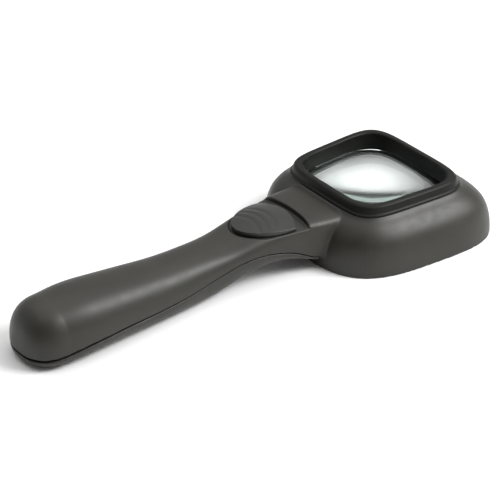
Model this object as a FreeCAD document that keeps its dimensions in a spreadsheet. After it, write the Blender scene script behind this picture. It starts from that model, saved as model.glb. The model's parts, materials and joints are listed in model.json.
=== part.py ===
"""Illuminated stand magnifier: a hand grip with a square hood that stands on the page.

Millimetres. +X runs from the butt of the grip to the front of the hood, +Z is up, and the
origin is under the middle of the whole length, on the surface that the hood stands on.
"""
import FreeCAD, Part
import math
import os
import re
from FreeCAD import Placement, Rotation, Vector

# Driving dimensions: alias, value, meaning. They fill the sheet called Params.
DIMENSIONS = (
    ("butt_x", -101.4, "rear end of the grip"),
    ("butt_square", 2.4, "squareness of the butt seen from above"),
    ("butt_keel", 4.2, "squareness of the butt's underside seen from the side"),
    ("wall", 1.8, "moulded wall thickness"),
    ("seam", 0.3, "gap between the two grip shells"),
    ("cover_end", 23.4, "hood end of the battery cover"),
    ("hinge_x", 23.9, "lugs that the battery cover tilts on"),
    ("hinge_z", 3.95, "lugs that the battery cover tilts on"),
    ("hinge_radius", 0.6, "lugs that the battery cover tilts on"),
    ("neck_end", 34.0, "where the neck has run into the hood"),
    ("lens_x", 60.8, "centre of the lens"),
    ("hood_shift", 1.6, "base outline ahead of the lens centre"),
    ("hood_long", 39.0, "half length of the hood's base"),
    ("hood_wide", 38.4, "half width of the hood's base"),
    ("hood_square", 3.4, "squareness of the base outline"),
    ("hood_taper", 0.066, "the base widens this much to the front"),
    ("rim_long", 21.9, "half length of the opening"),
    ("rim_wide", 23.9, "half width of the opening"),
    ("rim_square", 5.1, "squareness of the opening"),
    ("rim_taper", 0.058, "the opening widens this much to the front"),
    ("rim_top", 25.0, "top of the bezel"),
    ("rim_foot", 21.0, "foot of the bezel on the hood"),
    ("collar_wall", 3.9, "bezel wall above the hood"),
    ("sleeve_wall", 2.5, "bezel wall inside the hood"),
    ("sleeve_play", 0.2, "hood opening round the sleeve"),
    ("lens_lap", 1.3, "lens under the bezel's lip"),
    ("lens_mid", 15.8, "height of the lens's middle plane"),
    ("lens_thick", 9.0, "lens thickness at its centre"),
    ("lens_curve", 130.0, "radius of each lens face"),
    ("seat_high", 18.6, "underside of the bezel's lip"),
    ("retainer_top", 12.9, "top of the retainer ring"),
    ("retainer_thick", 1.8, "thickness of the retainer ring"),
    ("ear_out", 4.6, "retainer screws outside the opening's corners"),
    ("ear_radius", 3.0, "retainer ear"),
    ("boss_radius", 2.7, "screw boss"),
    ("screw_radius", 1.15, "self-tapping screw"),
    ("pilot_radius", 1.2, "hole for a self-tapping screw"),
    ("head_radius", 2.1, "screw head"),
    ("head_thick", 1.3, "screw head"),
    ("slit_wide", 0.6, "screwdriver cross"),
    ("recess_floor", 18.9, "floor of the thumb recess"),
    ("floor_thick", 1.5, "thickness under the recess"),
    ("recess_gap", 1.2, "recess round the rear of the button"),
    ("button_x", 13.6, "widest point of the button"),
    ("button_half", 12.0, "half width of the button"),
    ("button_tail", 19.6, "button behind its widest point"),
    ("button_nose", 3.7, "button ahead of its widest point"),
    ("button_lift", 0.2, "play under the button"),
    ("button_top", 22.5, "crown of the button"),
    ("travel", 2.6, "slide of the button"),
    ("recess_front", 20.4, "front wall of the recess"),
    ("stem_x", 2.6, "rear face of the stem"),
    ("stem_long", 6.0, "stem through the slot"),
    ("stem_half", 2.0, "half width of the stem"),
    ("slot_play", 0.3, "slot round the stem"),
    ("sled_low", 15.8, "underside of the sled"),
    ("sled_high", 17.2, "top of the sled"),
    ("sled_half", 5.4, "half width of the sled"),
    ("sled_rear", -0.4, "rear end of the sled"),
    ("sled_front", 11.6, "front end of the sled"),
    ("base_low", 12.2, "underside of the switch base"),
    ("base_high", 13.4, "top of the switch base"),
    ("base_half", 7.6, "half width of the switch base"),
    ("base_rear", -1.4, "rear end of the switch base"),
    ("base_front", 18.4, "front end of the switch base"),
    ("leaf", 0.4, "thickness of the contact strips"),
    ("base_screw_x", 16.2, "switch base screws"),
    ("base_screw_y", 5.6, "switch base screws"),
    ("cell_radius", 5.25, "AAA cell"),
    ("cell_long", 44.5, "AAA cell with its cap"),
    ("cap_long", 0.8, "positive cap"),
    ("cap_radius", 1.9, "positive cap"),
    ("sleeve_thick", 0.15, "printed sleeve of a cell"),
    ("cell_z", 11.65, "axis of the cells"),
    ("cell_front", -3.4, "tip of the front cell"),
    ("tray_rear", -97.0, "battery tray"),
    ("tray_front", -1.8, "battery tray"),
    ("tray_half", 6.6, "battery tray"),
    ("tray_low", 8.8, "battery tray"),
    ("tray_high", 14.9, "battery tray"),
    ("tray_bore", 5.45, "channel for the cells"),
    ("tab_x", -78.0, "tray screws"),
    ("tab_y", 8.8, "tray screws"),
    ("tab_top", 14.4, "top of the tray's screw tabs"),
    ("strip_low", 9.4, "lower edge of the return strip"),
    ("strip_wide", 2.6, "width of the return strip"),
    ("spring_long", 3.2, "contact spring, pressed"),
    ("spring_radius", 3.1, "contact spring"),
    ("spring_wire", 0.3, "radius of the spring wire"),
    ("bulkhead_x", 29.0, "face of the wall behind the hood"),
    ("bulkhead_thick", 2.0, "wall behind the hood"),
    ("window_half", 6.0, "half width of the light window"),
    ("window_low", 5.6, "light window"),
    ("window_high", 13.0, "light window"),
    ("led_radius", 2.5, "lamp"),
    ("led_z", 9.6, "axis of the lamp"),
    ("led_foot", 20.8, "rear face of the lamp"),
    ("board_x", 19.2, "rear face of the lamp board"),
    ("board_thick", 1.2, "lamp board"),
    ("lead_radius", 0.25, "lamp and resistor leads"),
    ("wire_radius", 0.6, "insulated wires"),
)

# Grip sections, butt to hood: x, half width, underside, split line, crown, squareness above, below
GRIP_STATIONS = (
    (-87.8, 14.2, 0.0, 5.4, 21.8, 2.4, 2.9),
    (-80.0, 14.7, 0.0, 6.3, 22.3, 2.4, 2.6),
    (-66.0, 14.1, 0.0, 7.1, 21.5, 2.4, 2.5),
    (-52.0, 13.1, 0.0, 7.3, 20.2, 2.4, 2.6),
    (-38.0, 12.0, 0.0, 7.8, 19.1, 2.4, 2.7),
    (-25.0, 11.1, 0.3, 9.7, 18.85, 2.5, 2.9),
    (-13.0, 11.0, 2.2, 12.0, 18.95, 2.7, 2.75),
    (-2.5, 11.8, 5.0, 12.9, 20.5, 3.2, 2.6),
    (7.0, 13.0, 5.8, 11.7, 21.4, 4.4, 2.6),
    (14.0, 14.1, 5.1, 9.4, 21.4, 6.0, 2.8),
    (20.5, 15.3, 3.8, 6.2, 21.1, 7.0, 3.0),
    (27.0, 16.3, 2.6, 5.0, 20.8, 7.0, 3.0),
    (34.0, 17.0, 2.0, 4.5, 20.5, 7.0, 3.0),
)

# Fractions of the butt's rounded length, from where it starts to the tip
BUTT_FRACTIONS = (0.32, 0.55, 0.74, 0.87, 0.955, 0.993)

# Hood levels: height as a fraction of the bezel's foot, spread from bezel (0) to base (1)
HOOD_LEVELS = (
    (0.0, 1.0),
    (0.14, 0.986),
    (0.32, 0.945),
    (0.5, 0.852),
    (0.66, 0.706),
    (0.8, 0.48),
    (0.9, 0.25),
    (0.96, 0.09),
    (1.0, 0.02),
)

SECTION_POINTS = 48

doc = FreeCAD.newDocument("stand_magnifier")
sheet = doc.addObject("Spreadsheet::Sheet", "Params")
size = {}
for row, (alias, value, meaning) in enumerate(DIMENSIONS, start=1):
    sheet.set("A%d" % row, meaning)
    sheet.set("B%d" % row, str(value))
    sheet.setAlias("B%d" % row, alias)
    size[alias] = value
doc.recompute()

nodes = []


def cells(expression):
    """Point each sheet alias in an expression at the Params sheet."""
    return re.sub(r"[a-z][a-z_]*", lambda word: "Params." + word.group(), str(expression))


def bind(item, **properties):
    """Bind an object's properties to expressions in the sheet's aliases."""
    for name, expression in properties.items():
        item.setExpression(name, cells(expression))
    return item


def put(item, place):
    """Bind an object's position to three expressions."""
    for axis, expression in zip("xyz", place):
        item.setExpression("Placement.Base." + axis, cells(expression))
    return item


def named(item, label):
    """Give a finished sub-part the label that names its file."""
    item.Label = label
    nodes.append(item)
    return item


# ---- primitives bound to the sheet ----

def block(name, along, across, upward):
    """A box between low and high expressions on each axis."""
    item = doc.addObject("Part::Box", name)
    lows = [pair[0] for pair in (along, across, upward)]
    spans = ["(%s) - (%s)" % (pair[1], pair[0]) for pair in (along, across, upward)]
    bind(item, Length=spans[0], Width=spans[1], Height=spans[2])
    return put(item, lows)


TURN_TO = {
    "x": Rotation(Vector(0, 1, 0), 90),
    "y": Rotation(Vector(1, 0, 0), -90),
    "z": Rotation(),
}


def rod(name, axis, radius, length, start):
    """A cylinder that starts at a point and runs along +axis."""
    item = doc.addObject("Part::Cylinder", name)
    item.Placement = Placement(Vector(), TURN_TO[axis])
    bind(item, Radius=radius, Height=length)
    return put(item, start)


def ball(name, radius, centre):
    item = doc.addObject("Part::Sphere", name)
    bind(item, Radius=radius)
    return put(item, centre)


def members(parts):
    """The single parts of a list, with each group opened up."""
    single = []
    for part in parts:
        single += members(part.Links) if part.TypeId == "Part::Compound" else [part]
    return single


def boolean(kind, name, base, tools):
    """Apply a two-part boolean with each tool in turn; refining would merge the lofts' faces."""
    for step, tool in enumerate(tools):
        item = doc.addObject(kind, name if step == len(tools) - 1 else "%s_%d" % (name, step))
        item.Base, item.Tool, item.Refine = base, tool, False
        base = item
    return base


def cut(name, base, *tools):
    return boolean("Part::Cut", name, base, tools)


def common(name, base, *tools):
    return boolean("Part::Common", name, base, tools)


def fuse(name, *parts):
    item = doc.addObject("Part::MultiFuse", name)
    item.Shapes = members(parts)
    item.Refine = False
    return item


def group(name, *parts):
    item = doc.addObject("Part::Compound", name)
    item.Links = list(parts)
    return item


def mirrored(name, source, normal, base=("0", "0", "0")):
    item = doc.addObject("Part::Mirroring", name)
    item.Source = source
    item.Normal = normal
    for axis, expression in zip("xyz", base):
        item.setExpression("Base." + axis, cells(expression))
    return item


def both_sides(name, source):
    """A part and its mirror image across the grip."""
    return group(name, source, mirrored(name + "_far", source, Vector(0, 1, 0)))


def feature(name, shape):
    item = doc.addObject("Part::Feature", name)
    item.Shape = shape
    return item


# ---- smooth closed outlines and lofts ----

def reach(angle, half_x, half_y, square):
    """Distance from the centre to a superellipse at an angle."""
    across = abs(math.cos(angle) / half_x) ** square
    upward = abs(math.sin(angle) / half_y) ** square
    return (across + upward) ** (-1.0 / square)


def closed_curve(points):
    curve = Part.BSplineCurve()
    curve.interpolate(points, PeriodicFlag=True)
    return Part.Wire([curve.toShape()])


def plan_outline(centre_x, half_x, half_y, square, taper, height):
    """A rounded square seen from above that widens towards +X."""
    points = []
    for step in range(SECTION_POINTS):
        angle = 2 * math.pi * step / SECTION_POINTS
        radius = reach(angle, half_x, half_y, square)
        along, across = radius * math.cos(angle), radius * math.sin(angle)
        points.append(Vector(centre_x + along, across * (1 + taper * along / half_x), height))
    return closed_curve(points)


def rim_outline(offset, height):
    """The lens opening's outline, grown by an offset."""
    return plan_outline(size["lens_x"], size["rim_long"] + offset, size["rim_wide"] + offset,
                        size["rim_square"], size["rim_taper"], height)


def rim_solid(*levels):
    """A solid through rim outlines given as (offset, height)."""
    wires = [rim_outline(offset, height) for offset, height in levels]
    return Part.makeLoft(wires, True, True)


def blend(low, high, share):
    return low + (high - low) * share


def hood_solid(inset, drop):
    """The hood from its base to the bezel's foot, drawn in by an inset and lowered by a drop."""
    foot_long = size["rim_long"] + size["collar_wall"]
    foot_wide = size["rim_wide"] + size["collar_wall"]
    wires = []
    for rise, spread in HOOD_LEVELS:
        wires.append(plan_outline(
            size["lens_x"] + size["hood_shift"] * spread,
            blend(foot_long, size["hood_long"], spread) - inset,
            blend(foot_wide, size["hood_wide"], spread) - inset,
            blend(size["rim_square"], size["hood_square"], spread),
            blend(size["rim_taper"], size["hood_taper"], spread),
            size["rim_foot"] * rise - drop))
    return Part.makeLoft(wires, True, False)


def grip_section(station, inset, share=(1.0, 1.0), place=None):
    """One closed section of the grip, drawn in by an inset.

    The shares shrink it towards the split line: sideways and above by the first, below by the second.
    """
    along, half, low, split, crown, above, below = station
    points = []
    for step in range(SECTION_POINTS):
        angle = 2 * math.pi * step / SECTION_POINTS - math.pi / 2
        upper = math.sin(angle) >= 0
        rise = (crown - split if upper else split - low) - inset
        radius = reach(angle, half - inset, rise, above if upper else below)
        across = radius * math.cos(angle) * share[0]
        height = split + radius * math.sin(angle) * share[0 if upper else 1]
        points.append(Vector(along if place is None else place, across, height))
    return closed_curve(points)


def grip_solid(inset, front):
    """The whole grip from its rounded butt to a front limit, drawn in by an inset."""
    first = GRIP_STATIONS[0]
    tip = size["butt_x"] + inset
    run = first[0] - tip
    sections = [Part.Vertex(Vector(tip, 0, first[3]))]
    for fraction in reversed(BUTT_FRACTIONS):
        share = [(1 - fraction ** square) ** (1 / square)
                 for square in (size["butt_square"], size["butt_keel"])]
        sections.append(grip_section(first, inset, share, first[0] - run * fraction))
    sections += [grip_section(station, inset) for station in GRIP_STATIONS]
    solid = Part.makeLoft(sections, True, False)
    keep = Part.makeBox(front - tip + 50, 100, 100, Vector(tip - 50, -50, -50))
    return solid.common(keep)


def below_split(shift):
    """Everything under the grip's split line, moved up or down by a shift."""
    line = [Vector(s[0], 0, s[3] + shift) for s in GRIP_STATIONS if s[0] < size["cover_end"]]
    rear = Vector(size["butt_x"] - 20, 0, GRIP_STATIONS[0][3] - 2.2 + shift)
    curve = Part.BSplineCurve()
    curve.interpolate([rear] + line)
    end = line[-1]
    corner = Vector(size["cover_end"] + shift, 0, end.z - 2.6)
    middle = Vector(blend(end.x, corner.x, 0.74), 0, blend(end.z, corner.z, 0.42))
    floor = -20
    edges = [
        curve.toShape(),
        Part.Arc(end, middle, corner).toShape(),
        Part.LineSegment(corner, Vector(corner.x, 0, floor)).toShape(),
        Part.LineSegment(Vector(corner.x, 0, floor), Vector(rear.x, 0, floor)).toShape(),
        Part.LineSegment(Vector(rear.x, 0, floor), rear).toShape(),
    ]
    face = Part.Face(Part.Wire(edges))
    half = 30
    face.translate(Vector(0, -half, 0))
    return face.extrude(Vector(0, 2 * half, 0))


def tube(points, radius):
    """A round wire along straight runs joined by tangent arcs."""
    edges = []
    start = points[0]
    for before, corner, after in zip(points, points[1:], points[2:]):
        back, ahead = before - corner, after - corner
        half_turn = (math.pi - back.getAngle(ahead)) / 2
        bend = 0.45 * min(back.Length, ahead.Length) / math.tan(half_turn)
        tangent = bend * math.tan(half_turn)
        back.normalize()
        ahead.normalize()
        enter, leave = corner + back * tangent, corner + ahead * tangent
        inward = (back + ahead).normalize()
        apex = corner + inward * (bend / math.cos(half_turn) - bend)
        edges.append(Part.LineSegment(start, enter).toShape())
        edges.append(Part.Arc(enter, apex, leave).toShape())
        start = leave
    edges.append(Part.LineSegment(start, points[-1]).toShape())
    path = Part.Wire(edges)
    ring = Part.Wire([Part.Circle(points[0], points[1] - points[0], radius).toShape()])
    return path.makePipeShell([ring], True, True)


# ---- screws: a head, a shank and a cross cut in the head, pointing up ----

def screw(name, place, length):
    along, across, seat = place
    head_low = "%s - head_thick" % seat
    head = rod(name + "_head", "z", "head_radius", "head_thick", (along, across, head_low))
    shank = rod(name + "_shank", "z", "screw_radius", length, (along, across, seat))
    arms = []
    for arm, (long_half, wide_half) in enumerate((("1.2", "slit_wide / 2"), ("slit_wide / 2", "1.2"))):
        arms.append(block("%s_slit_%d" % (name, arm),
                          ("%s - %s" % (along, long_half), "%s + %s" % (along, long_half)),
                          ("%s - %s" % (across, wide_half), "%s + %s" % (across, wide_half)),
                          (head_low + " - 0.1", head_low + " + 0.6")))
    return cut(name, fuse(name + "_blank", head, shank), *arms)


# ---- lens, bezel and retainer ----

def corner_places():
    """The retainer's four screws, as expressions, just outside the corners of the opening."""
    places = []
    shrink = 2 ** (-1 / size["rim_square"])
    for side_x, side_y in ((1, 1), (1, -1), (-1, 1), (-1, -1)):
        along = side_x * shrink * (size["rim_long"] + size["ear_out"])
        taper = 1 + size["rim_taper"] * side_x * shrink
        across = side_y * shrink * (size["rim_wide"] + size["ear_out"]) * taper
        places.append(("lens_x + (%.4f)" % along, "%.4f" % across))
    return places


def at_corners(name, radius, length, start):
    """Upright rods at the retainer's four screws."""
    return group(name, *[rod("%s_%d" % (name, index), "z", radius, length, place + (start,))
                         for index, place in enumerate(corner_places())])


def build_optics():
    lap = size["lens_lap"]
    blank = feature("lens_blank", rim_solid((lap, 5.0), (lap, 24.0)))
    faces = []
    for side in ("-", "+"):
        centre = "lens_mid %s (lens_curve - lens_thick / 2)" % side
        faces.append(ball("lens_face_%d" % len(faces), "lens_curve", ("lens_x", "0", centre)))
    named(common("lens_solid", blank, *faces), "lens")

    wall, foot, top = size["collar_wall"], size["rim_foot"], size["rim_top"]
    sleeve, bottom, seat = size["sleeve_wall"], size["retainer_top"], size["seat_high"]
    collar = rim_solid((wall, foot), (wall - 0.3, top - 1.1), (wall - 0.7, top - 0.4),
                       (wall - 1.4, top))
    ring = collar.fuse(rim_solid((sleeve, bottom), (sleeve, foot)))
    bore = rim_solid((-0.5, bottom - 1), (-0.5, seat), (0.0, top - 0.5), (0.5, top + 0.02))
    pocket = rim_solid((lap + 0.15, bottom - 1), (lap + 0.15, seat))
    named(feature("bezel", ring.cut([bore, pocket])), "lens_bezel")

    under = bottom - size["retainer_thick"]
    flat = feature("retainer_flat", rim_solid((sleeve, under), (sleeve, bottom)))
    inside = feature("retainer_inside", rim_solid((-1.2, under - 1), (-0.8, bottom + 1)))
    ears = at_corners("retainer_ears", "ear_radius", "retainer_thick", "retainer_top - retainer_thick")
    holes = at_corners("retainer_holes", "pilot_radius", "retainer_thick + 2",
                       "retainer_top - retainer_thick - 1")
    named(cut("retainer", fuse("retainer_blank", flat, ears), inside, holes), "lens_retainer")
    screws = [screw("retainer_screw_%d" % index, place + ("retainer_top - retainer_thick",), "5.2")
              for index, place in enumerate(corner_places())]
    named(group("retainer_screw_group", *screws), "retainer_screws")


# ---- the two shells ----

def button_outline(grow, height):
    """The thumb button seen from above: a half ellipse behind, a shallow arc in front."""
    widest, half = size["button_x"], size["button_half"] + grow
    tail, nose = size["button_tail"] + grow, size["button_nose"] + grow
    ellipse = Part.Ellipse(Vector(widest, 0, height), max(tail, half), min(tail, half))
    behind = Part.ArcOfEllipse(ellipse, math.pi / 2, 3 * math.pi / 2)
    ends = behind.StartPoint, behind.EndPoint
    front = Part.Arc(ends[1], Vector(widest + nose, 0, height), ends[0])
    return Part.Wire([behind.toShape(), front.toShape()])


def recess_solid():
    """The flat-floored thumb recess, open to both sides of the neck in front of the button."""
    floor, front = size["recess_floor"], size["recess_front"]
    gap = size["recess_gap"]
    widest, half = size["button_x"], size["button_half"] + gap
    tail = size["button_tail"] + gap
    ellipse = Part.Ellipse(Vector(widest, 0, floor), tail, half)
    behind = Part.ArcOfEllipse(ellipse, math.pi / 2, 3 * math.pi / 2)
    left, right = behind.StartPoint, behind.EndPoint
    side = 6.0
    left_out, right_out = left + Vector(0, side, 0), right - Vector(0, side, 0)
    corner = front - 1.9
    left_front, right_front = Vector(corner, half + side, floor), Vector(corner, -half - side, floor)
    left_in, right_in = Vector(corner, half, floor), Vector(corner, -half, floor)
    wire = Part.Wire([
        behind.toShape(),
        Part.LineSegment(right, right_out).toShape(),
        Part.LineSegment(right_out, right_front).toShape(),
        Part.LineSegment(right_front, right_in).toShape(),
        Part.Arc(right_in, Vector(front, 0, floor), left_in).toShape(),
        Part.LineSegment(left_in, left_front).toShape(),
        Part.LineSegment(left_front, left_out).toShape(),
        Part.LineSegment(left_out, left).toShape(),
    ])
    return Part.Face(wire).extrude(Vector(0, 0, 10))


def build_shells():
    wall, half_seam = size["wall"], size["seam"] / 2
    grip = feature("grip_outer", grip_solid(0.0, size["neck_end"]))
    hood = feature("hood_outer", hood_solid(0.0, 0.0))
    hollow_grip = feature("grip_hollow", grip_solid(wall, size["bulkhead_x"]))
    hollow_hood = feature("hood_hollow", hood_solid(wall, 0.6 * wall))

    # What stays solid inside the hollows: the neck's end wall, the switch roof and the bosses
    neck_wall = block("neck_wall", ("bulkhead_x - 12", "bulkhead_x + bulkhead_thick"),
                      ("-15.6", "15.6"), ("3.0", "30.0"))
    corner_bosses = at_corners("corner_bosses", "boss_radius", "12", "retainer_top")
    switch_roof = block("switch_roof", ("-9.0", "recess_front + 1.5"), ("-20", "20"),
                        ("recess_floor - floor_thick", "30"))
    tray_bosses = both_sides("tray_bosses", rod(
        "tray_boss", "z", "2.2", "8", ("tab_x", "tab_y", "tab_top")))
    base_bosses = both_sides("base_bosses", rod(
        "base_boss", "z", "2.0", "recess_floor - base_high", ("base_screw_x", "base_screw_y", "base_high")))
    hood_room = cut("hood_room", hollow_hood, neck_wall, corner_bosses)
    grip_room = cut("grip_room", hollow_grip, switch_roof, group("bosses", tray_bosses, base_bosses))

    top_grip = cut("grip_above", grip, feature("under_split", below_split(half_seam)))
    skin = cut("upper_skin", fuse("upper_mass", top_grip, hood), hood_room, grip_room)
    way = size["sleeve_wall"] + size["sleeve_play"]
    sleeve_way = feature("sleeve_way", rim_solid((way, size["retainer_top"] - 0.5),
                                                (way, size["rim_foot"] + 5)))
    recess = feature("thumb_recess", recess_solid())
    slot = block("stem_slot", ("stem_x - slot_play", "stem_x + stem_long + travel + slot_play"),
                 ("-stem_half - slot_play", "stem_half + slot_play"), ("15.0", "20.0"))
    window_way = block("window_way", ("bulkhead_x - 1", "bulkhead_x + bulkhead_thick + 1"),
                       ("-window_half", "window_half"), ("window_low", "window_high"))
    pockets = both_sides("hook_pockets", block(
        "hook_pocket", ("cover_end - 1.0", "cover_end + 2.4"), ("3.6", "8.4"), ("2.9", "6.6")))
    pilots = group(
        "pilots",
        at_corners("corner_pilots", "pilot_radius", "6.4", "retainer_top - 1"),
        both_sides("tray_pilots",
                   rod("tray_pilot", "z", "pilot_radius", "4.0", ("tab_x", "tab_y", "tab_top - 1"))),
        both_sides("base_pilots", rod(
            "base_pilot", "z", "pilot_radius", "5.2", ("base_screw_x", "base_screw_y", "base_high - 1"))))
    ways = group("ways", window_way, pockets)
    named(cut("upper", skin, sleeve_way, recess, slot, ways, pilots), "upper_shell")

    over = feature("over_split", below_split(-half_seam))
    ribs = []
    for index, place in enumerate((-82, -62, -42, -26)):
        rib = block("rib_block_%d" % index, (str(place), "%s + 1.2" % place), ("-7.5", "7.5"), ("-1", "8.0"))
        bore = rod("rib_bore_%d" % index, "x", "cell_radius + 0.25", "6", ("%s - 2" % place, "0", "cell_z"))
        ribs.append(cut("rib_%d" % index, rib, bore))
    cover_room = cut("cover_room", hollow_grip, group("ribs", *ribs))
    bowl = cut("cover_skin", common("cover_mass", grip, over), cover_room)
    tongue = block("tongue", ("cover_end - 2.4", "hinge_x"), ("4.0", "8.0"),
                   ("hinge_z - 0.2", "hinge_z + hinge_radius"))
    lug = rod("lug", "y", "hinge_radius", "4.0", ("hinge_x", "4.0", "hinge_z"))
    hooks = both_sides("hooks", fuse("hook", tongue, lug))
    named(fuse("lower", bowl, hooks), "battery_cover")


# ---- thumb switch ----

def build_switch():
    low = size["recess_floor"] + size["button_lift"]
    high = size["button_top"]
    prism = Part.Face(button_outline(0.0, low)).extrude(Vector(0, 0, high - low + 1))
    crown_radius, side_radius = 46.0, 30.0
    middle_x = size["button_x"] - 7.0
    dome = Part.makeCylinder(crown_radius, 60, Vector(middle_x, -30, high - crown_radius), Vector(0, 1, 0))
    ridge = Part.makeCylinder(side_radius, 60, Vector(middle_x - 30, 0, high - side_radius), Vector(1, 0, 0))
    shape = prism.common(dome).common(ridge)
    for groove_x in (1.8, 5.4, 9.0):
        sweep_radius = 16.0
        groove = Part.makeTorus(sweep_radius, 1.0, Vector(groove_x - sweep_radius, 0, high + 0.55))
        shape = shape.cut(groove)
    boss_x = size["stem_x"] + size["stem_long"] / 2
    hole = Part.makeCylinder(size["pilot_radius"], 2.2, Vector(boss_x, 0, low - 0.1))
    named(feature("button", shape.cut(hole)), "switch_button")

    sled = block("sled", ("sled_rear", "sled_front"), ("-sled_half", "sled_half"), ("sled_low", "sled_high"))
    stem = block("stem", ("stem_x", "stem_x + stem_long"), ("-stem_half", "stem_half"),
                 ("sled_high - 0.4", "recess_floor + button_lift"))
    middle = "stem_x + stem_long / 2"
    way = rod("sled_way", "z", "pilot_radius", "6", (middle, "0", "sled_low - 1"))
    sink = rod("sled_sink", "z", "head_radius + 0.1", "0.8", (middle, "0", "sled_low - 0.1"))
    notches = [block("sled_notch_%d" % index, (rear, "%s + 1.0" % rear), ("sled_half - 0.5", "sled_half + 1"),
                     ("sled_low - 1", "sled_high + 1")) for index, rear in enumerate(("4.2", "6.8"))]
    named(cut("carrier", fuse("carrier_blank", sled, stem), way, sink, *notches), "switch_carrier")
    named(screw("stem_screw", (middle, "0", "sled_low + 0.7"), "4.2"), "carrier_screw")

    plate = block("wiper_plate", ("sled_rear + 0.4", "stem_x - 0.1"), ("-2.6", "2.6"),
                  ("sled_low - leaf", "sled_low"))
    nose = block("wiper_nose", ("stem_x + stem_long + 0.1", "sled_front - 0.4"), ("-2.6", "2.6"),
                 ("sled_low - leaf", "sled_low"))
    rails = both_sides("wiper_rails",
                       block("wiper_rail", ("sled_rear + 0.4", "sled_front - 0.4"), ("2.4", "3.4"),
                                            ("sled_low - leaf", "sled_low")))
    feet = [both_sides("wiper_feet_%d" % index, block(
        "wiper_foot_%d" % index, (rear, "%s + 0.8" % rear), ("2.4", "3.4"),
        ("base_high + leaf + 0.25", "sled_low"))) for index, rear in enumerate(("0.6", "7.8"))]
    named(fuse("wiper", plate, nose, rails, *feet), "switch_wiper")

    deck = block("base_deck", ("base_rear", "base_front"), ("-base_half", "base_half"),
                 ("base_low", "base_high"))
    holes = both_sides("base_holes", rod("base_hole", "z", "pilot_radius", "4",
                                         ("base_screw_x", "base_screw_y", "base_low - 1")))
    posts = block("detent_post", ("8.6", "10.8"), ("6.2", "base_half"),
                  ("base_high - 0.2", "sled_high - 0.2"))
    named(fuse("base_whole", cut("base_plate", deck, holes), posts), "switch_base")
    base_screw = screw("base_screw", ("base_screw_x", "base_screw_y", "base_low"), "4.6")
    named(both_sides("base_screw_pair", base_screw), "switch_base_screws")
    strips = (("switch_contact_rear", "0.2", "6.4"), ("switch_contact_front", "9.2", "14.0"))
    for label, rear, front in strips:
        strip = block(label + "_strip", (rear, front), ("-4.2", "4.2"), ("base_high", "base_high + leaf"))
        named(strip, label)
    leaf_post = block("leaf_root", ("6.4", "8.6"), ("6.2", "6.5"), ("sled_low", "sled_high - 0.2"))
    leaf_bump = rod("leaf_bump", "z", "0.45", "sled_high - sled_low - 0.2", ("5.0", "6.05", "sled_low"))
    leaf_arm = block("leaf_arm", ("4.6", "6.6"), ("6.2", "6.5"), ("sled_low", "sled_high - 0.2"))
    named(fuse("detent", leaf_post, leaf_arm, leaf_bump), "detent_spring")


# ---- cells, tray and contacts ----

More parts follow.
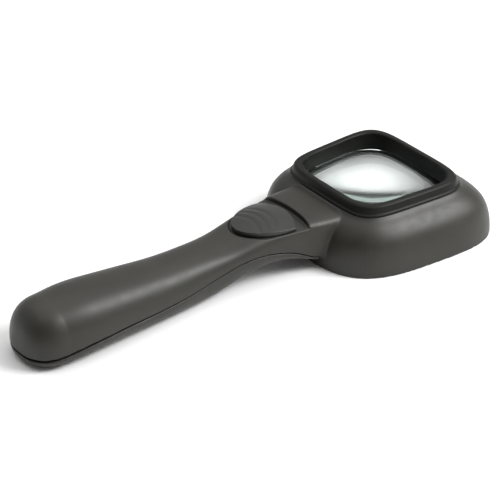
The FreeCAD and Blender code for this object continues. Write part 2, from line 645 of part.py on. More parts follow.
def build_power():
    rear_face = "cell_front - 2 * cell_long - spring_long"
    bore = rod("tray_channel", "x", "tray_bore", "cell_front - tray_rear - 1.0",
               ("tray_rear + 1.0", "0", "cell_z"))
    blank = block("tray_blank", ("tray_rear", "tray_front"), ("-tray_half", "tray_half"),
                  ("tray_low", "tray_high"))
    tab = block("tray_tab", ("tab_x - 2.6", "tab_x + 2.6"), ("tray_half - 0.4", "tab_y + 1.5"),
                ("tab_top - 1.6", "tab_top"))
    tabs = both_sides("tray_tabs", tab)
    holes = both_sides("tray_holes", rod("tray_hole", "z", "pilot_radius", "4",
                                         ("tab_x", "tab_y", "tab_top - 3")))
    slot = block("contact_slot", ("cell_front", "cell_front + leaf"), ("-4.4", "4.4"),
                 ("tray_low - 1", "tray_high - 0.6"))
    strip_way = block("strip_way", ("tray_rear + 1.0", "tray_front + 1"),
                      ("-tray_half - 1", "-tray_half + leaf"),
                      ("strip_low - 0.2", "strip_low + strip_wide + 0.2"))
    arm_way = block("arm_way", ("%s - leaf - 0.1" % rear_face, "%s + 0.1" % rear_face),
                    ("-tray_half - 1", "-4"),
                    ("strip_low - 0.2", "strip_low + strip_wide + 0.2"))
    named(cut("tray", fuse("tray_mass", blank, tabs), bore, holes, slot, strip_way, arm_way), "battery_tray")
    named(both_sides("tray_screw_pair", screw("tray_screw", ("tab_x", "tab_y", "tab_top - 1.6"), "4.2")),
          "tray_screws")

    front = "cell_front"
    for label in ("cell_front", "cell_rear"):
        shoulder = "%s - cap_long" % front
        rear = "%s - cell_long" % front
        can = rod(label + "_steel", "x", "cell_radius - sleeve_thick", "cell_long - cap_long",
                  (rear, "0", "cell_z"))
        outer = rod(label + "_jacket", "x", "cell_radius", "cell_long - cap_long - 1.0",
                    ("%s + 0.5" % rear, "0", "cell_z"))
        inner = rod(label + "_core", "x", "cell_radius - sleeve_thick", "cell_long", (rear, "0", "cell_z"))
        cap = rod(label + "_nub", "x", "cap_radius", "cap_long", (shoulder, "0", "cell_z"))
        named(can, label + "_can")
        named(cut(label + "_wrap", outer, inner), label + "_sleeve")
        named(cap, label + "_cap")
        front = rear

    wire, pressed = size["spring_wire"], size["spring_long"]
    turns, per_turn = 2, 6
    start = size["cell_front"] - 2 * size["cell_long"] - pressed + wire
    points = []
    for step in range(turns * per_turn + 1):
        share = step / (turns * per_turn)
        radius = size["spring_radius"] - 0.8 * share
        angle = 2 * math.pi * step / per_turn
        points.append(Vector(start + (pressed - 2 * wire) * share, radius * math.cos(angle),
                             size["cell_z"] + radius * math.sin(angle)))
    named(feature("coil", tube(points, wire)), "contact_spring")

    plate = block("rear_plate", ("%s - leaf" % rear_face, rear_face), ("-3.6", "3.6"),
                  ("cell_z - 3.9", "cell_z + 3.0"))
    arm = block("rear_arm", ("%s - leaf" % rear_face, rear_face), ("-tray_half", "-3.0"),
                ("strip_low", "strip_low + strip_wide"))
    named(fuse("rear_plate_whole", plate, arm), "rear_contact")
    face = block("front_plate", ("cell_front", "cell_front + leaf"), ("-4.2", "4.2"),
                 ("tray_low - 0.6", "14.0"))
    named(face, "front_contact")
    strip = block("strip", (rear_face, "tray_front + 3.0"), ("-tray_half", "-tray_half + leaf"),
                  ("strip_low", "strip_low + strip_wide"))
    named(strip, "return_strip")


# ---- lamp ----

def build_lamp():
    flange = rod("led_flange", "x", "led_radius + 0.4", "1.0", ("led_foot", "0", "led_z"))
    barrel = rod("led_barrel", "x", "led_radius", "5.2", ("led_foot", "0", "led_z"))
    dome = ball("led_dome", "led_radius", ("led_foot + 5.2", "0", "led_z"))
    named(fuse("lamp", flange, barrel, dome), "led")
    leads = both_sides("lead_pair", rod("lead", "x", "lead_radius", "led_foot - board_x + 0.9",
                                        ("board_x - 0.9", "1.27", "led_z")))
    named(leads, "led_leads")
    board = block("board_blank", ("board_x", "board_x + board_thick"), ("-5.5", "5.5"), ("6.8", "15.0"))
    lead_holes = both_sides("lead_holes", rod("lead_hole", "x", "lead_radius + 0.05", "4",
                                              ("board_x - 1", "1.27", "led_z")))
    named(cut("board", board, lead_holes), "led_board")
    named(rod("resistor_body", "y", "0.9", "4.4", ("board_x - 0.95", "-2.2", "11.0")), "resistor")
    holder = block("holder_blank", ("led_foot + 1.2", "bulkhead_x - 0.4"), ("-3.8", "3.8"), ("5.6", "13.4"))
    holder_bore = rod("holder_bore", "x", "led_radius + 0.05", "12", ("led_foot", "0", "led_z"))
    named(cut("holder", holder, holder_bore), "led_holder")
    pane = block("pane", ("bulkhead_x + 0.6", "bulkhead_x + bulkhead_thick"),
                 ("-window_half + 0.1", "window_half - 0.1"),
                 ("window_low + 0.1", "window_high - 0.1"))
    named(pane, "light_window")

    thick = size["wire_radius"]
    routes = (
        ("wire_battery", (Vector(-1.0, 1.6, 7.9), Vector(3.6, 2.0, 8.2), Vector(6.0, 3.6, 9.4),
                          Vector(6.0, 4.2, 12.0))),
        ("wire_lamp", (Vector(13.2, 3.0, 12.0), Vector(13.4, 3.0, 9.8), Vector(15.6, 3.2, 8.8),
                       Vector(19.0, 3.2, 8.8))),
        ("wire_return", (Vector(1.4, -7.3, 10.8), Vector(6.8, -7.6, 10.2), Vector(13.0, -4.6, 9.0),
                         Vector(19.0, -3.6, 8.8))),
    )
    for label, route in routes:
        named(feature(label + "_run", tube(route, thick)), label)


build_optics()
build_shells()
build_switch()
build_power()
build_lamp()
doc.recompute()

failed = [item.Name for item in doc.Objects if {"Invalid", "Error"} & set(item.State)]
for node in nodes:
    if node.Shape.isNull() or not node.Shape.isValid() or not node.Shape.Solids:
        failed.append(node.Label)
if failed:
    raise SystemExit("failed: " + ", ".join(failed))

os.makedirs("parts", exist_ok=True)
for node in nodes:
    node.Shape.exportStep(os.path.join("parts", node.Label + ".step"))
    box = node.Shape.BoundBox
    print("%-22s %d solid(s) %9.1f mm3  x %.1f..%.1f y %.1f..%.1f z %.1f..%.1f" % (
        node.Label, len(node.Shape.Solids), node.Shape.Volume,
        box.XMin, box.XMax, box.YMin, box.YMax, box.ZMin, box.ZMax))
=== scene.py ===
"""Looks of the illuminated stand magnifier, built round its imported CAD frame.

Metres, in the CAD's own axes: +X from the butt of the grip to the front of the hood, +Z up.
Shapes are worked out in millimetres and scaled when a mesh is made.
"""
import json
import math

import bmesh
import bpy
import numpy as np
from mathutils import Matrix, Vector


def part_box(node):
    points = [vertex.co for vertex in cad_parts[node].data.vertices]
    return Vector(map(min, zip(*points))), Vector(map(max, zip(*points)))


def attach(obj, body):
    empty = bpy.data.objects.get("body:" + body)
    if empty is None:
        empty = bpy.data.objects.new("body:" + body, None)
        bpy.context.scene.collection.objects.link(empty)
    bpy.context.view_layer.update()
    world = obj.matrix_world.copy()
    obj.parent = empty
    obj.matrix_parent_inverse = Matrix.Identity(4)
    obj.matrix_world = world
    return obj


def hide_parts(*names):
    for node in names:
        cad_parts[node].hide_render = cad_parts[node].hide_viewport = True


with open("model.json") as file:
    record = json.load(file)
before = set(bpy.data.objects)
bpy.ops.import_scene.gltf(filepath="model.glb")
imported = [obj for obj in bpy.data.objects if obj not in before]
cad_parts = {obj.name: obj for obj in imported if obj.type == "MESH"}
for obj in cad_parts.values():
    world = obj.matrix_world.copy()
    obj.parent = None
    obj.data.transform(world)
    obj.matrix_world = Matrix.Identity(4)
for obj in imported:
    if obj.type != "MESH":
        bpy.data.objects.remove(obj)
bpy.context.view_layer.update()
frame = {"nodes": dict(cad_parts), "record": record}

MM = 0.001


def span(node):
    """A node's lowest and highest corner in millimetres."""
    low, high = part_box(node)
    return np.array(low) / MM, np.array(high) / MM


# ---- sizes, from the frame where it holds them ----

BEZEL_LOW, BEZEL_HIGH = span("lens_bezel")
SHELL_LOW, SHELL_HIGH = span("upper_shell")
BUTTON_LOW = span("switch_button")[0]

BUTT_X, FRONT_X = SHELL_LOW[0], SHELL_HIGH[0]
LENS_X = (BEZEL_LOW[0] + BEZEL_HIGH[0]) / 2
LENS_LAP, COLLAR_WALL, SLEEVE_WALL = 1.3, 3.9, 2.5
RIM_LONG = (BEZEL_HIGH[0] - BEZEL_LOW[0]) / 2 - COLLAR_WALL
RIM_WIDE, RIM_SQUARE, RIM_TAPER = 23.9, 5.1, 0.058
RIM_TOP, RIM_FOOT, SEAT_HIGH = BEZEL_HIGH[2], 21.0, 18.6
SLEEVE_LOW = BEZEL_LOW[2]
HOOD_SHIFT, HOOD_WIDE, HOOD_SQUARE, HOOD_TAPER = 1.6, 38.4, 3.4, 0.066
HOOD_LONG = FRONT_X - LENS_X - HOOD_SHIFT
BUTT_SQUARE, BUTT_KEEL = 2.4, 4.2
WALL, SEAM = 1.8, 0.3
COVER_END, NECK_END, BULKHEAD_X, BULKHEAD_THICK = 23.4, 34.0, 29.0, 2.0
RECESS_FLOOR, FLOOR_THICK, RECESS_FRONT, RECESS_GAP = 18.9, 1.5, 20.4, 1.2
SWITCH_WALL_HALF, WINDOW_HALF, WINDOW_LOW, WINDOW_HIGH = 15.6, 6, 5.6, 13
BUTTON_X, BUTTON_HALF, BUTTON_TAIL, BUTTON_NOSE, BUTTON_TOP = 13.6, 12.0, 19.6, 3.7, 22.5
GROOVES, GROOVE_SWEEP = (1.8, 5.4, 9.0), 16.0

# Camera: the point it looks at in millimetres, its angles in degrees, distance in metres, lens
CAMERA_TARGET, CAMERA_ANGLES = (10.05, 12.15, 0.0), (-36.96, 31.27)
CAMERA_DISTANCE, CAMERA_LENS, SENSOR = 0.742, 137.9, 36.0

# Grip sections, butt to hood: x, half width, underside, split line, crown, squareness above, below
GRIP_STATIONS = np.array((
    (-87.8, 14.2, 0.0, 5.4, 21.8, 2.4, 2.9),
    (-80.0, 14.7, 0.0, 6.3, 22.3, 2.4, 2.6),
    (-66.0, 14.1, 0.0, 7.1, 21.5, 2.4, 2.5),
    (-52.0, 13.1, 0.0, 7.3, 20.2, 2.4, 2.6),
    (-38.0, 12.0, 0.0, 7.8, 19.1, 2.4, 2.7),
    (-25.0, 11.1, 0.3, 9.7, 18.85, 2.5, 2.9),
    (-13.0, 11.0, 2.2, 12.0, 18.95, 2.7, 2.75),
    (-2.5, 11.8, 5.0, 12.9, 20.5, 3.2, 2.6),
    (7.0, 13.0, 5.8, 11.7, 21.4, 4.4, 2.6),
    (14.0, 14.1, 5.1, 9.4, 21.4, 6.0, 2.8),
    (20.5, 15.3, 3.8, 6.2, 21.1, 7.0, 3.0),
    (27.0, 16.3, 2.6, 5.0, 20.8, 7.0, 3.0),
    (34.0, 17.0, 2.0, 4.5, 20.5, 7.0, 3.0),
))

# Hood levels: height as a fraction of the bezel's foot, spread from bezel (0) to base (1)
HOOD_LEVELS = np.array((
    (0.0, 1.0), (0.14, 0.986), (0.32, 0.945), (0.5, 0.852), (0.66, 0.706),
    (0.8, 0.48), (0.9, 0.25), (0.96, 0.09), (1.0, 0.02),
))


# ---- mesh building ----

def new_object(name, vertices, faces):
    """A mesh object from points in millimetres."""
    mesh = bpy.data.meshes.new(name)
    mesh.from_pydata([tuple(c * MM for c in v) for v in vertices], [], faces)
    mesh.update()
    item = bpy.data.objects.new(name, mesh)
    bpy.context.scene.collection.objects.link(item)
    return item


def from_rings(name, rings):
    """A closed solid through rings of points, capped flat at both ends."""
    count = len(rings[0])
    vertices = [point for ring in rings for point in ring]
    faces = [tuple(range(count))[::-1]]
    for level in range(len(rings) - 1):
        low, high = level * count, (level + 1) * count
        for step in range(count):
            ahead = (step + 1) % count
            faces.append((low + step, low + ahead, high + ahead, high + step))
    last = (len(rings) - 1) * count
    faces.append(tuple(range(last, last + count)))
    item = new_object(name, vertices, faces)
    outward(item)
    return item


def outward(item):
    """Turn every face normal out of the solid."""
    work = bmesh.new()
    work.from_mesh(item.data)
    bmesh.ops.recalc_face_normals(work, faces=work.faces)
    work.to_mesh(item.data)
    work.free()


def apply_all(item):
    """Turn an object's modifiers into its mesh."""
    graph = bpy.context.evaluated_depsgraph_get()
    mesh = bpy.data.meshes.new_from_object(item.evaluated_get(graph))
    item.modifiers.clear()
    old, item.data = item.data, mesh
    mesh.name = item.name
    bpy.data.meshes.remove(old)
    return item


def join_or_cut(item, operation, *tools):
    """Apply a boolean with each tool, then drop the tool."""
    for tool in tools:
        step = item.modifiers.new("step", "BOOLEAN")
        step.operation, step.solver, step.object = operation, "EXACT", tool
        apply_all(item)
        bpy.data.objects.remove(tool)
    return item


def weld(item, *tools):
    return join_or_cut(item, "UNION", *tools)


def carve(item, *tools):
    return join_or_cut(item, "DIFFERENCE", *tools)


def keep(item, *tools):
    return join_or_cut(item, "INTERSECT", *tools)


def melt(item, voxel, passes):
    """Remesh evenly and relax, which rounds each edge like a moulding's."""
    remesh = item.modifiers.new("remesh", "REMESH")
    remesh.mode, remesh.voxel_size = "VOXEL", voxel * MM
    smooth = item.modifiers.new("smooth", "SMOOTH")
    smooth.factor, smooth.iterations = 0.5, passes
    return apply_all(item)


def shade_smooth(item):
    for face in item.data.polygons:
        face.use_smooth = True
    return item


def box_solid(name, low, high):
    corners = [[(low[0], low[1], z), (high[0], low[1], z), (high[0], high[1], z), (low[0], high[1], z)]
               for z in (low[2], high[2])]
    return from_rings(name, corners)


def prism(name, outline, low, high):
    """An upright solid over a flat outline of (x, y) points."""
    return from_rings(name, [[(x, y, z) for x, y in outline] for z in (low, high)])


# ---- the smooth outlines ----

def superellipse(angle, half_x, half_y, square):
    return ((np.abs(np.cos(angle) / half_x) ** square
             + np.abs(np.sin(angle) / half_y) ** square) ** (-1.0 / square))


def plan_outline(centre_x, half_x, half_y, square, taper, points=160):
    angle = np.linspace(0, 2 * math.pi, points, endpoint=False)
    radius = superellipse(angle, half_x, half_y, square)
    along, across = radius * np.cos(angle), radius * np.sin(angle)
    return np.stack([centre_x + along, across * (1 + taper * along / half_x)], 1)


def rim_outline(offset):
    return plan_outline(LENS_X, RIM_LONG + offset, RIM_WIDE + offset, RIM_SQUARE, RIM_TAPER)


def rim_solid(name, *levels):
    """A solid through rim outlines given as (offset, height)."""
    return from_rings(name, [[(x, y, height) for x, y in rim_outline(offset)]
                             for offset, height in levels])


def smooth_rows(table, places):
    """Rows of a table at new places of its first column, on a natural cubic through them."""
    knots, values = table[:, 0], table[:, 1:]
    gaps = np.diff(knots)
    count = len(knots)
    system, right = np.eye(count), np.zeros(values.shape)
    for i in range(1, count - 1):
        system[i, i - 1], system[i, i + 1] = gaps[i - 1], gaps[i]
        system[i, i] = 2 * (gaps[i - 1] + gaps[i])
        right[i] = 6 * ((values[i + 1] - values[i]) / gaps[i] - (values[i] - values[i - 1]) / gaps[i - 1])
    bend = np.linalg.solve(system, right)
    cell = np.clip(np.searchsorted(knots, places) - 1, 0, count - 2)
    gap = gaps[cell][:, None]
    before, after = (knots[cell + 1] - places)[:, None], (places - knots[cell])[:, None]
    return ((bend[cell] * before ** 3 + bend[cell + 1] * after ** 3) / (6 * gap)
            + (values[cell] / gap - bend[cell] * gap / 6) * before
            + (values[cell + 1] / gap - bend[cell + 1] * gap / 6) * after)


def grip_ring(x, row, inset, share=(1.0, 1.0), points=128):
    """A section of the grip, shrunk towards the split line: sideways and above, then below."""
    half, low, split, crown, above, below = row
    angle = np.linspace(0, 2 * math.pi, points, endpoint=False)
    upper = np.sin(angle) >= 0
    rise = np.where(upper, crown - split, split - low) - inset
    radius = superellipse(angle, half - inset, rise, np.where(upper, above, below))
    height = split + radius * np.sin(angle) * np.where(upper, *share)
    return [(x, y * share[0], z) for y, z in zip(radius * np.cos(angle), height)]


def grip_solid(name, inset, front):
    first = GRIP_STATIONS[0]
    run = first[0] - BUTT_X - inset
    rings = []
    for turn in np.radians(np.arange(2.0, 90.0, 4.0)):
        fraction = math.cos(turn)
        share = [(1 - fraction ** square) ** (1 / square) for square in (BUTT_SQUARE, BUTT_KEEL)]
        rings.append(grip_ring(first[0] - run * fraction, first[1:], inset, share))
    places = np.arange(first[0], front + 0.01, (front - first[0]) / 120)
    for x, row in zip(places, smooth_rows(GRIP_STATIONS, places)):
        rings.append(grip_ring(x, row, inset))
    return from_rings(name, rings)


def hood_solid(name, inset, drop):
    rises = np.linspace(0, 1, 40)
    rings = []
    for rise, (spread,) in zip(rises, smooth_rows(HOOD_LEVELS, rises)):
        mix = lambda foot, base: foot + (base - foot) * spread
        outline = plan_outline(
            LENS_X + HOOD_SHIFT * spread, mix(RIM_LONG + COLLAR_WALL, HOOD_LONG) - inset,
            mix(RIM_WIDE + COLLAR_WALL, HOOD_WIDE) - inset, mix(RIM_SQUARE, HOOD_SQUARE),
            mix(RIM_TAPER, HOOD_TAPER))
        rings.append([(x, y, RIM_FOOT * rise - drop) for x, y in outline])
    return from_rings(name, rings)


def under_split(name, shift):
    """Everything under the grip's split line, moved up or down by a shift."""
    places = np.linspace(-87.8, 20.5, 60)
    rows = smooth_rows(GRIP_STATIONS, places)
    line = [(-121.4, 3.2 + 2.6 * shift), (-100.0, 4.4 + 2.6 * shift)]
    widen = 1 + 1.6 * np.clip((-30.0 - places) / 50, 0.0, 1.0)
    line += [(x, row[2] + shift * share) for x, row, share in zip(places, rows, widen)]
    end = line[-1]
    for turn in np.radians(np.arange(15, 91, 15)):
        line.append((end[0] + (COVER_END + shift - end[0]) * math.sin(turn),
                     end[1] - 2.6 * (1 - math.cos(turn))))
    line += [(COVER_END + shift, -20.0), (-121.4, -20.0)]
    return from_rings(name, [[(x, y, z) for x, z in line] for y in (-30.0, 30.0)])


def button_outline(grow, points=96):
    """The thumb button from above: a half ellipse behind, a shallow arc in front."""
    half, tail, nose = BUTTON_HALF + grow, BUTTON_TAIL + grow, BUTTON_NOSE + grow
    turns = np.linspace(-math.pi / 2, math.pi / 2, points)
    behind = [(BUTTON_X - tail * math.cos(t), half * math.sin(t)) for t in turns]
    radius = (half ** 2 + nose ** 2) / (2 * nose)
    sweep = math.asin(half / radius)
    ahead = [(BUTTON_X + nose - radius + radius * math.cos(t), radius * math.sin(t))
             for t in np.linspace(sweep, -sweep, points // 2)[1:-1]]
    return behind + ahead


def recess_outline():
    """The flat-floored recess, open to both sides of the neck in front of the button."""
    half, tail, side = BUTTON_HALF + RECESS_GAP, BUTTON_TAIL + RECESS_GAP, 6.0
    turns = np.linspace(-math.pi / 2, math.pi / 2, 64)
    behind = [(BUTTON_X - tail * math.cos(t), half * math.sin(t)) for t in turns]
    corner = RECESS_FRONT - 1.9
    radius = (half ** 2 + 1.9 ** 2) / 3.8
    sweep = math.asin(half / radius)
    front = [(RECESS_FRONT - radius + radius * math.cos(t), radius * math.sin(t))
             for t in np.linspace(sweep, -sweep, 24)]
    return ([(BUTTON_X, -half - side)] + behind + [(BUTTON_X, half + side), (corner, half + side)]
            + front + [(corner, -half - side)])


# ---- pieces ----

def make_upper_shell():
    half_seam = SEAM / 2
    hollow_hood = carve(hood_solid("hood_hollow", WALL, 0.6 * WALL),
                        box_solid("neck_wall", (BULKHEAD_X - 12, -SWITCH_WALL_HALF, 3.0),
                                  (BULKHEAD_X + BULKHEAD_THICK, SWITCH_WALL_HALF, 30)))
    hollow_grip = carve(grip_solid("grip_hollow", WALL, BULKHEAD_X),
                        box_solid("roof", (-9, -20, RECESS_FLOOR - FLOOR_THICK),
                                  (RECESS_FRONT + 1.5, 20, 30)))
    shell = carve(grip_solid("shell_visual", 0.0, NECK_END), under_split("under", half_seam))
    weld(shell, hood_solid("hood", 0.0, 0.0))
    way = SLEEVE_WALL + 0.2
    carve(shell, hollow_hood, hollow_grip,
          rim_solid("sleeve_way", (way, SLEEVE_LOW - 0.5), (way, RIM_FOOT + 5)),
          prism("recess", recess_outline(), RECESS_FLOOR, RECESS_FLOOR + 10),
          box_solid("slot", (2.3, -2.3, 15), (11.5, 2.3, 20)),
          box_solid("window", (BULKHEAD_X - 1, -WINDOW_HALF, WINDOW_LOW),
                    (BULKHEAD_X + 3, WINDOW_HALF, WINDOW_HIGH)))
    melt(shell, 0.32, 6)
    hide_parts("upper_shell")
    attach(shell, "grip")
    return shade_smooth(shell)


def make_cover():
    cover = keep(grip_solid("cover_visual", 0.0, NECK_END), under_split("over", -SEAM / 2))
    carve(cover, grip_solid("grip_hollow_2", WALL, BULKHEAD_X))
    melt(cover, 0.32, 5)
    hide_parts("battery_cover")
    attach(cover, "cover")
    return shade_smooth(cover)


def make_bezel():
    wall, top = COLLAR_WALL, RIM_TOP
    ring = rim_solid("bezel_visual", (wall + 0.3, RIM_FOOT), (wall + 0.3, RIM_FOOT + 0.7),
                     (wall - 0.35, RIM_FOOT + 1.1), (wall - 0.75, top - 1.3),
                     (wall - 1.05, top - 0.5), (wall - 1.7, top))
    weld(ring, rim_solid("sleeve", (SLEEVE_WALL, SLEEVE_LOW), (SLEEVE_WALL, RIM_FOOT + 0.5)))
    carve(ring, rim_solid("bore", (-0.5, SLEEVE_LOW - 1), (-0.5, SEAT_HIGH), (0.0, top - 0.5),
                          (0.5, top + 0.02)),
          rim_solid("pocket", (LENS_LAP + 0.15, SLEEVE_LOW - 1), (LENS_LAP + 0.15, SEAT_HIGH)))
    melt(ring, 0.22, 3)
    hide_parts("lens_bezel")
    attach(ring, "grip")
    return shade_smooth(ring)


def make_button():
    """The thumb button: crowned both ways, with three curved finger grooves."""
    outline = np.array(button_outline(0.0))
    low = BUTTON_LOW[2]
    centre = np.array((BUTTON_X - 7.0, 0.0))
    rings = [[(x, y, low) for x, y in outline]]
    for share in np.linspace(1.0, 0.04, 60):
        ring = []
        for x, y in centre + (outline - centre) * share:
            crown = BUTTON_TOP - (x - centre[0]) ** 2 / 105 - y ** 2 / 66
            for groove_x in GROOVES:
                sweep = math.hypot(x - groove_x + GROOVE_SWEEP, y) - GROOVE_SWEEP
                crown -= 0.42 * math.exp(-(sweep / 0.9) ** 2) * max(0.0, 1 - (abs(y) / 9.5) ** 4)
            ring.append((x, y, crown))
        rings.append(ring)
    button = from_rings("button_visual", rings)
    melt(button, 0.2, 4)
    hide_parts("switch_button")
    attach(button, "switch")
    return shade_smooth(button)


# ---- materials ----

def new_material(name):
    material = bpy.data.materials.new(name)
    material.use_nodes = True
    tree = material.node_tree
    shader = tree.nodes["Principled BSDF"]
    return material, tree, shader


def noise(tree, scale, detail, coordinates):
    node = tree.nodes.new("ShaderNodeTexNoise")
    node.inputs["Scale"].default_value = scale
    node.inputs["Detail"].default_value = detail
    tree.links.new(coordinates, node.inputs["Vector"])
    return node.outputs["Fac"]


def ramp(tree, source, low, high, at=(0.35, 0.65)):
    node = tree.nodes.new("ShaderNodeValToRGB")
    for element, place, colour in zip(node.color_ramp.elements, at, (low, high)):
        element.position, element.color = place, (*colour, 1.0)
    tree.links.new(source, node.inputs["Fac"])
    return node.outputs["Color"]


def moulded(name, dark, light, rough, grain=0.25, grain_scale=2600, sheen=0.5):
    """Moulded plastic: a fine etched grain, faint flow mottling and uneven sheen."""
    material, tree, shader = new_material(name)
    place = tree.nodes.new("ShaderNodeTexCoord").outputs["Object"]
    mottle = noise(tree, 60, 5, place)
    tree.links.new(ramp(tree, mottle, dark, light), shader.inputs["Base Color"])
    gloss = ramp(tree, noise(tree, 240, 4, place), [rough - 0.02] * 3, [rough + 0.03] * 3)
    tree.links.new(gloss, shader.inputs["Roughness"])
    bump = tree.nodes.new("ShaderNodeBump")
    bump.inputs["Strength"].default_value = grain
    bump.inputs["Distance"].default_value = 0.00006
    tree.links.new(noise(tree, grain_scale, 3, place), bump.inputs["Height"])
    tree.links.new(bump.outputs["Normal"], shader.inputs["Normal"])
    shader.inputs["Specular IOR Level"].default_value = sheen
    return material


def metal(name, dark, light, rough):
    """Plated or stamped metal with fine drawn streaks."""
    material, tree, shader = new_material(name)
    place = tree.nodes.new("ShaderNodeTexCoord").outputs["Object"]
    stretch = tree.nodes.new("ShaderNodeMapping")
    stretch.inputs["Scale"].default_value = (1.0, 12.0, 12.0)
    tree.links.new(place, stretch.inputs["Vector"])
    streak = noise(tree, 300, 3, stretch.outputs["Vector"])
    tree.links.new(ramp(tree, streak, dark, light), shader.inputs["Base Color"])
    tree.links.new(ramp(tree, streak, [rough - 0.06] * 3, [rough + 0.08] * 3), shader.inputs["Roughness"])
    shader.inputs["Metallic"].default_value = 1.0
    return material


def glass(name, tint, density, rough):
    """Clear solid that lets the lamps through to what lies under it."""
    material, tree, shader = new_material(name)
    shader.inputs["Transmission Weight"].default_value = 1.0
    shader.inputs["IOR"].default_value = 1.52
    place = tree.nodes.new("ShaderNodeTexCoord").outputs["Object"]
    haze = ramp(tree, noise(tree, 400, 2, place), [rough] * 3, [rough + 0.015] * 3)
    tree.links.new(haze, shader.inputs["Roughness"])
    clear = tree.nodes.new("ShaderNodeBsdfTransparent")
    clear.inputs["Color"].default_value = (0.93, 0.97, 0.95, 1.0)
    mix = tree.nodes.new("ShaderNodeMixShader")
    rays = tree.nodes.new("ShaderNodeLightPath")
    tree.links.new(rays.outputs["Is Shadow Ray"], mix.inputs["Fac"])
    tree.links.new(shader.outputs["BSDF"], mix.inputs[1])
    tree.links.new(clear.outputs["BSDF"], mix.inputs[2])
    output = tree.nodes["Material Output"]
    tree.links.new(mix.outputs["Shader"], output.inputs["Surface"])
    body = tree.nodes.new("ShaderNodeVolumeAbsorption")
    body.inputs["Color"].default_value = (*tint, 1.0)
    body.inputs["Density"].default_value = density
    tree.links.new(body.outputs["Volume"], output.inputs["Volume"])
    return material


MATERIALS = {
    "shell": moulded("shell_plastic", (0.019, 0.0182, 0.0145), (0.025, 0.024, 0.0192), 0.44, sheen=0.42),
    "bezel": moulded("bezel_plastic", (0.007, 0.0075, 0.0065), (0.010, 0.0105, 0.009), 0.45, sheen=0.16),
    "button": moulded("button_plastic", (0.020, 0.0205, 0.0175), (0.027, 0.0275, 0.0235), 0.42, sheen=0.42),
    "inner_plastic": moulded("inner_plastic", (0.018, 0.018, 0.018), (0.026, 0.026, 0.025), 0.5),
    "lens": glass("lens_glass", (0.62, 0.93, 0.84), 14.0, 0.0),
    "window": glass("window_clear", (0.9, 0.95, 0.95), 4.0, 0.12),
    "led": glass("led_clear", (0.92, 0.95, 0.9), 4.0, 0.05),
    "steel": metal("plated_steel", (0.50, 0.50, 0.51), (0.66, 0.66, 0.67), 0.28),
    "brass": metal("stamped_brass", (0.60, 0.42, 0.16), (0.76, 0.56, 0.24), 0.3),
    "cell_sleeve": moulded("cell_sleeve", (0.03, 0.07, 0.2), (0.04, 0.09, 0.25), 0.25, 0.05),
    "board": moulded("board_green", (0.02, 0.12, 0.05), (0.03, 0.16, 0.07), 0.4, 0.1),
    "resistor": moulded("resistor_lacquer", (0.5, 0.4, 0.26), (0.6, 0.48, 0.32), 0.35, 0.05),
    "wire": moulded("wire_sleeve", (0.36, 0.02, 0.02), (0.46, 0.03, 0.03), 0.35, 0.05),
}


def finish_with(item, material):
    item.data.materials.clear()
    item.data.materials.append(material)


def dress_cad():
    """Give each CAD node that stays its own procedural finish."""
    slots = {entry["node"]: entry["material_slot"] for entry in frame["record"]["subparts"]}
    for node, item in frame["nodes"].items():
        finish_with(item, MATERIALS[slots[node]])


# ---- stage ----

def make_stage():
    size = 3.0
    floor = new_object("floor", [(-size / MM, -size / MM, 0), (size / MM, -size / MM, 0),
                                 (size / MM, size / MM, 0), (-size / MM, size / MM, 0)], [(0, 1, 2, 3)])
    material, tree, shader = new_material("floor_white")
    place = tree.nodes.new("ShaderNodeTexCoord").outputs["Object"]
    tree.links.new(ramp(tree, noise(tree, 8, 2, place), (0.94, 0.94, 0.94), (0.96, 0.96, 0.96)),
                   shader.inputs["Base Color"])
    shader.inputs["Roughness"].default_value = 0.9
    finish_with(floor, material)


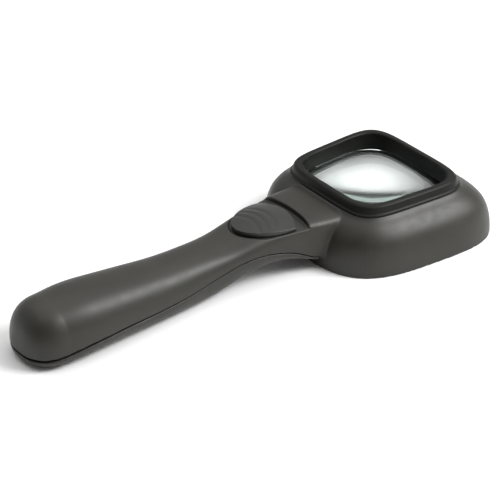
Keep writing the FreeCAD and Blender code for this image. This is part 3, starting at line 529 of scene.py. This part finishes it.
def make_world():
    """A white studio, darker on the side that the butt of the grip faces."""
    world = bpy.data.worlds.new("studio")
    world.use_nodes = True
    tree = world.node_tree
    facing = tree.nodes.new("ShaderNodeVectorMath")
    facing.operation = "DOT_PRODUCT"
    facing.inputs[1].default_value = (-0.80, -0.50, 0.33)
    direction = tree.nodes.new("ShaderNodeTexCoord").outputs["Generated"]
    tree.links.new(direction, facing.inputs[0])
    sky = ramp(tree, facing.outputs["Value"], (1.0, 1.0, 1.0), (0.12, 0.12, 0.12), (0.35, 0.9))
    tree.links.new(sky, tree.nodes["Background"].inputs["Color"])
    tree.nodes["Background"].inputs["Strength"].default_value = 0.62
    bpy.context.scene.world = world
    bpy.context.scene.view_settings.view_transform = "Standard"


def area_light(name, place, target, width, height, power):
    data = bpy.data.lights.new(name, "AREA")
    data.shape, data.size, data.size_y, data.energy = "RECTANGLE", width, height, power
    item = bpy.data.objects.new(name, data)
    item.location = place
    item.rotation_euler = (Vector(target) - Vector(place)).to_track_quat("-Z", "Y").to_euler()
    bpy.context.scene.collection.objects.link(item)


def make_lights():
    area_light("overhead", (0.1, 0.2, 1.6), (0, 0, 0), 2.4, 2.4, 16.0)
    area_light("shoulder", (0.51, -0.50, 0.66), (0, 0, 0), 0.42, 0.42, 9.0)
    area_light("page", (0.064, 0.006, 0.009), (0.064, 0.006, 0.0), 0.038, 0.036, 0.010)


def make_camera():
    azimuth, elevation = (math.radians(angle) for angle in CAMERA_ANGLES)
    target = Vector(CAMERA_TARGET) * MM
    back = Vector((math.sin(azimuth) * math.cos(elevation), -math.cos(azimuth) * math.cos(elevation),
                   math.sin(elevation)))
    data = bpy.data.cameras.new("camera")
    data.sensor_width, data.lens = SENSOR, CAMERA_LENS
    camera = bpy.data.objects.new("camera", data)
    camera.location = target + back * CAMERA_DISTANCE
    camera.rotation_euler = (-back).to_track_quat("-Z", "Y").to_euler()
    bpy.context.scene.collection.objects.link(camera)
    bpy.context.scene.camera = camera


make_camera()
make_stage()
make_world()
make_lights()
dress_cad()
for make, slot_name in ((make_upper_shell, "shell"), (make_cover, "shell"), (make_bezel, "bezel"),
                        (make_button, "button")):
    finish_with(make(), MATERIALS[slot_name])
